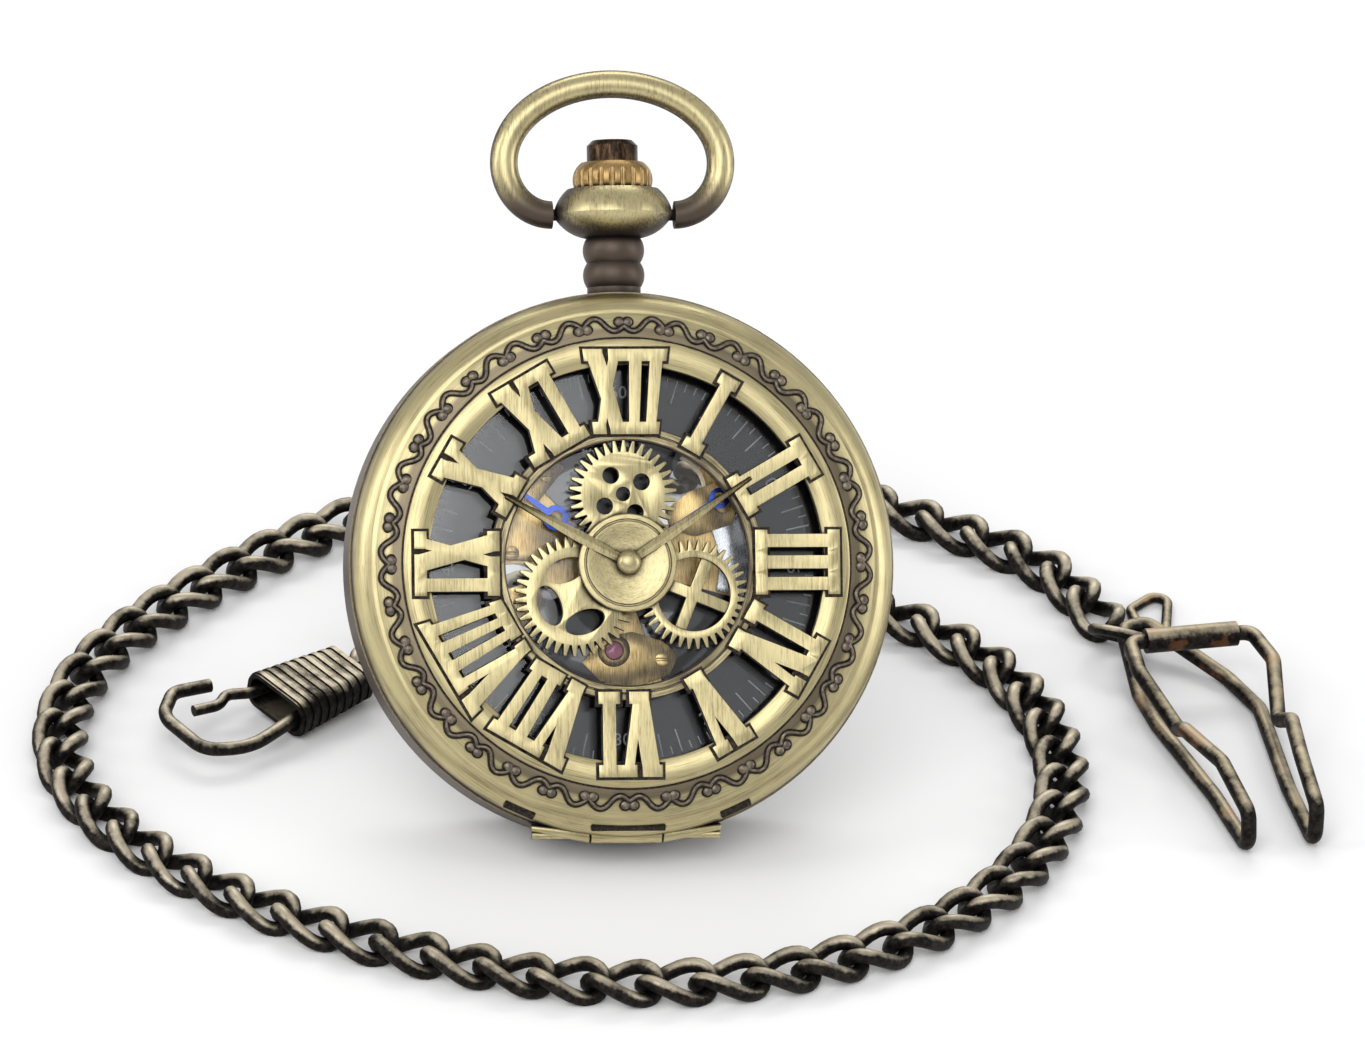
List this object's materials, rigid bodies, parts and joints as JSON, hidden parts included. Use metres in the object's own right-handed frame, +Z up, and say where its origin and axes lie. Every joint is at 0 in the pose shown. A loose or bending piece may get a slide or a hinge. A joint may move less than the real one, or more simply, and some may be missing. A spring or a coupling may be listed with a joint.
{
  "type": "pocket watch",
  "caption": "Half-hunter pocket watch with a pierced front cover over a skeleton movement, with a loose curb chain, spring clasp and wire belt clip.",
  "frame": {"origin": "centre of the leaning watch's bounding box, on the surface that its rim and the chain lie on", "axes": "+Z up, +X to the watch's right as its dial is read, -Y the way the dial faces; the watch leans back 35 degrees"},
  "size_m": [0.1106, 0.0888, 0.0561],
  "materials": {
    "case_band": "antique satin",
    "hinge_pin": "antique satin",
    "back_bezel": "antique satin",
    "rear_crystal": "polished",
    "crystal_bezel": "antique satin",
    "front_crystal": "polished",
    "dial": "gloss",
    "pendant": "antique satin",
    "main_plate": "brushed",
    "movement_ring": "brushed",
    "jewels": "polished",
    "train_bridge": "brushed",
    "barrel_bridge": "brushed",
    "balance_cock": "brushed",
    "bridge_screws": "polished",
    "pallet_bridge": "brushed",
    "front_cover": "antique satin",
    "cover_catch": "antique satin",
    "bow": "antique satin",
    "setting_lever": "polished",
    "crown": "antique satin",
    "winding_stem": "polished",
    "sliding_pinion": "polished",
    "winding_pinion": "polished",
    "button_spring": "polished",
    "push_button": "dark satin",
    "minute_hand": "gloss",
    "cannon_pinion": "brushed",
    "hour_hand": "gloss",
    "hour_wheel": "brushed",
    "minute_wheel": "brushed",
    "centre_wheel": "brushed",
    "third_wheel": "brushed",
    "fourth_wheel": "brushed",
    "escape_wheel": "brushed",
    "barrel": "brushed",
    "mainspring": "polished",
    "pallet_fork": "polished",
    "balance_wheel": "brushed",
    "balance_staff": "polished",
    "hairspring": "polished",
    "ratchet_wheel": "polished",
    "crown_wheel": "polished",
    "click": "polished",
    "chain": "worn gunmetal",
    "clasp_hook": "worn gunmetal",
    "clasp_sleeve": "worn gunmetal",
    "clasp_ring": "worn gunmetal",
    "clip_jump_ring": "worn gunmetal",
    "clasp_gate": "worn gunmetal",
    "clip_frame": "worn gunmetal",
    "clip_sleeve": "worn gunmetal",
    "clip_ring": "worn gunmetal"
  },
  "bodies": {
    "case": {"case_band": "case_band", "hinge_pin": "hinge_pin", "back_bezel": "back_bezel", "rear_crystal": "rear_crystal", "crystal_bezel": "crystal_bezel", "front_crystal": "front_crystal", "dial": "dial", "pendant": "pendant", "main_plate": "main_plate", "movement_ring": "movement_ring", "jewels": "jewels", "train_bridge": "train_bridge", "barrel_bridge": "barrel_bridge", "balance_cock": "balance_cock", "bridge_screws": "bridge_screws", "pallet_bridge": "pallet_bridge"},
    "front_cover": {"front_cover": "front_cover"},
    "cover_catch": {"cover_catch": "cover_catch"},
    "bow": {"bow": "bow"},
    "setting_lever": {"setting_lever": "setting_lever"},
    "crown": {"crown": "crown", "winding_stem": "winding_stem", "sliding_pinion": "sliding_pinion", "winding_pinion": "winding_pinion", "button_spring": "button_spring"},
    "push_button": {"push_button": "push_button"},
    "minute_hand": {"minute_hand": "minute_hand", "cannon_pinion": "cannon_pinion"},
    "hour_hand": {"hour_hand": "hour_hand", "hour_wheel": "hour_wheel"},
    "minute_wheel": {"minute_wheel": "minute_wheel"},
    "centre_wheel": {"centre_wheel": "centre_wheel"},
    "third_wheel": {"third_wheel": "third_wheel"},
    "fourth_wheel": {"fourth_wheel": "fourth_wheel"},
    "escape_wheel": {"escape_wheel": "escape_wheel"},
    "barrel": {"barrel": "barrel", "mainspring": "mainspring"},
    "pallet_fork": {"pallet_fork": "pallet_fork"},
    "balance_wheel": {"balance_wheel": "balance_wheel", "balance_staff": "balance_staff", "hairspring": "hairspring"},
    "ratchet_wheel": {"ratchet_wheel": "ratchet_wheel"},
    "crown_wheel": {"crown_wheel": "crown_wheel"},
    "click": {"click": "click"},
    "chain": {"chain": "chain", "clasp_hook": "clasp_hook", "clasp_sleeve": "clasp_sleeve", "clasp_ring": "clasp_ring", "clip_jump_ring": "clip_jump_ring"},
    "clasp_gate": {"clasp_gate": "clasp_gate"},
    "belt_clip": {"clip_frame": "clip_frame", "clip_sleeve": "clip_sleeve", "clip_ring": "clip_ring"}
  },
  "joints": [
    {"name": "cover_hinge", "type": "hinge", "parent": "case", "child": "front_cover", "pos_m": [0, -0.01993, 0.00345], "axis": [1, 0, 0], "range_deg": [0, 100]},
    {"name": "catch_slide", "type": "slide", "parent": "case", "child": "cover_catch", "axis": [0, -0.5736, -0.8192], "range_m": [0, 0.0005]},
    {"name": "bow_swing", "type": "hinge", "parent": "case", "child": "bow", "pos_m": [0, 0.01335, 0.0454], "axis": [1, 0, 0], "range_deg": [-100, 100]},
    {"name": "stem_pull", "type": "slide", "parent": "case", "child": "setting_lever", "axis": [0, 0.5736, 0.8192], "range_m": [0, 0.0008]},
    {"name": "crown_turn", "type": "hinge", "parent": "setting_lever", "child": "crown", "pos_m": [0, 0.01312, 0.04507], "axis": [0, 0.5736, 0.8192], "continuous": true},
    {"name": "button_push", "type": "slide", "parent": "crown", "child": "push_button", "axis": [0, -0.5736, -0.8192], "range_m": [0, 0.0008], "stiffness_N_per_m": 300, "springref_m": -0.0004, "deforming": ["button_spring"]},
    {"name": "minute_hand_turn", "type": "hinge", "parent": "case", "child": "minute_hand", "pos_m": [0, -0.00573, 0.02165], "axis": [0, 0.8192, -0.5736], "continuous": true},
    {"name": "hour_hand_turn", "type": "hinge", "parent": "case", "child": "hour_hand", "pos_m": [0, -0.00565, 0.02159], "axis": [0, 0.8192, -0.5736], "continuous": true},
    {"name": "minute_wheel_turn", "type": "hinge", "parent": "case", "child": "minute_wheel", "pos_m": [0.00245, -0.00424, 0.02256], "axis": [0, 0.8192, -0.5736], "continuous": true},
    {"name": "centre_wheel_turn", "type": "hinge", "parent": "case", "child": "centre_wheel", "pos_m": [0, -0.00245, 0.01935], "axis": [0, 0.8192, -0.5736], "continuous": true},
    {"name": "third_wheel_turn", "type": "hinge", "parent": "case", "child": "third_wheel", "pos_m": [0.00563, -0.00432, 0.01669], "axis": [0, 0.8192, -0.5736], "continuous": true},
    {"name": "fourth_wheel_turn", "type": "hinge", "parent": "case", "child": "fourth_wheel", "pos_m": [0.00891, -0.00648, 0.0136], "axis": [0, 0.8192, -0.5736], "continuous": true},
    {"name": "escape_wheel_turn", "type": "hinge", "parent": "case", "child": "escape_wheel", "pos_m": [0.00626, -0.00842, 0.01082], "axis": [0, 0.8192, -0.5736], "continuous": true},
    {"name": "barrel_turn", "type": "hinge", "parent": "case", "child": "barrel", "pos_m": [-0.00447, 0.00121, 0.02459], "axis": [0, 0.8192, -0.5736], "continuous": true},
    {"name": "pallet_rock", "type": "hinge", "parent": "case", "child": "pallet_fork", "pos_m": [0.00316, -0.00802, 0.01192], "axis": [0, -0.8192, 0.5736], "range_deg": [-5, 5]},
    {"name": "balance_swing", "type": "hinge", "parent": "case", "child": "balance_wheel", "pos_m": [-0.0003, -0.0062, 0.01295], "axis": [0, -0.8192, 0.5736], "range_deg": [-270, 270], "stiffness_Nm_per_rad": 0.0000001},
    {"name": "ratchet_turn", "type": "hinge", "parent": "case", "child": "ratchet_wheel", "pos_m": [-0.00447, 0.00326, 0.02315], "axis": [0, -0.8192, 0.5736], "continuous": true},
    {"name": "crown_wheel_turn", "type": "hinge", "parent": "case", "child": "crown_wheel", "pos_m": [0, 0.00741, 0.02907], "axis": [0, -0.8192, 0.5736], "continuous": true},
    {"name": "click_swing", "type": "hinge", "parent": "case", "child": "click", "pos_m": [-0.01087, 0.00418, 0.02446], "axis": [0, -0.8192, 0.5736], "range_deg": [-25, 0]},
    {"name": "watch_lift", "type": "slide", "parent": "case", "child": "chain", "axis": [0, 0, -1], "range_m": [0, 0.08]},
    {"name": "gate_swing", "type": "hinge", "parent": "chain", "child": "clasp_gate", "pos_m": [-0.02694, 0.00676, 0.00243], "axis": [0.0633, -0.0831, 0.9945], "range_deg": [0, 24], "stiffness_Nm_per_rad": 0.002, "springref_deg": -17.19},
    {"name": "clip_swing", "type": "hinge", "parent": "chain", "child": "belt_clip", "pos_m": [0.0476, 0.01632, 0.0007], "axis": [-0.989, -0.1478, 0], "range_deg": [0, 50]}
  ],
  "couplings": [
    {"joint": "hour_hand_turn", "follows": "minute_hand_turn", "ratio": 0.083333},
    {"joint": "minute_wheel_turn", "follows": "minute_hand_turn", "ratio": -0.33333},
    {"joint": "third_wheel_turn", "follows": "centre_wheel_turn", "ratio": -7.5},
    {"joint": "fourth_wheel_turn", "follows": "centre_wheel_turn", "ratio": 51.429},
    {"joint": "escape_wheel_turn", "follows": "centre_wheel_turn", "ratio": -360},
    {"joint": "barrel_turn", "follows": "centre_wheel_turn", "ratio": -0.16667},
    {"joint": "crown_wheel_turn", "follows": "crown_turn", "ratio": 0.7},
    {"joint": "ratchet_turn", "follows": "crown_turn", "ratio": -0.4375},
    {"joint": "catch_slide", "follows": "button_push", "ratio": 0.6}
  ]
}
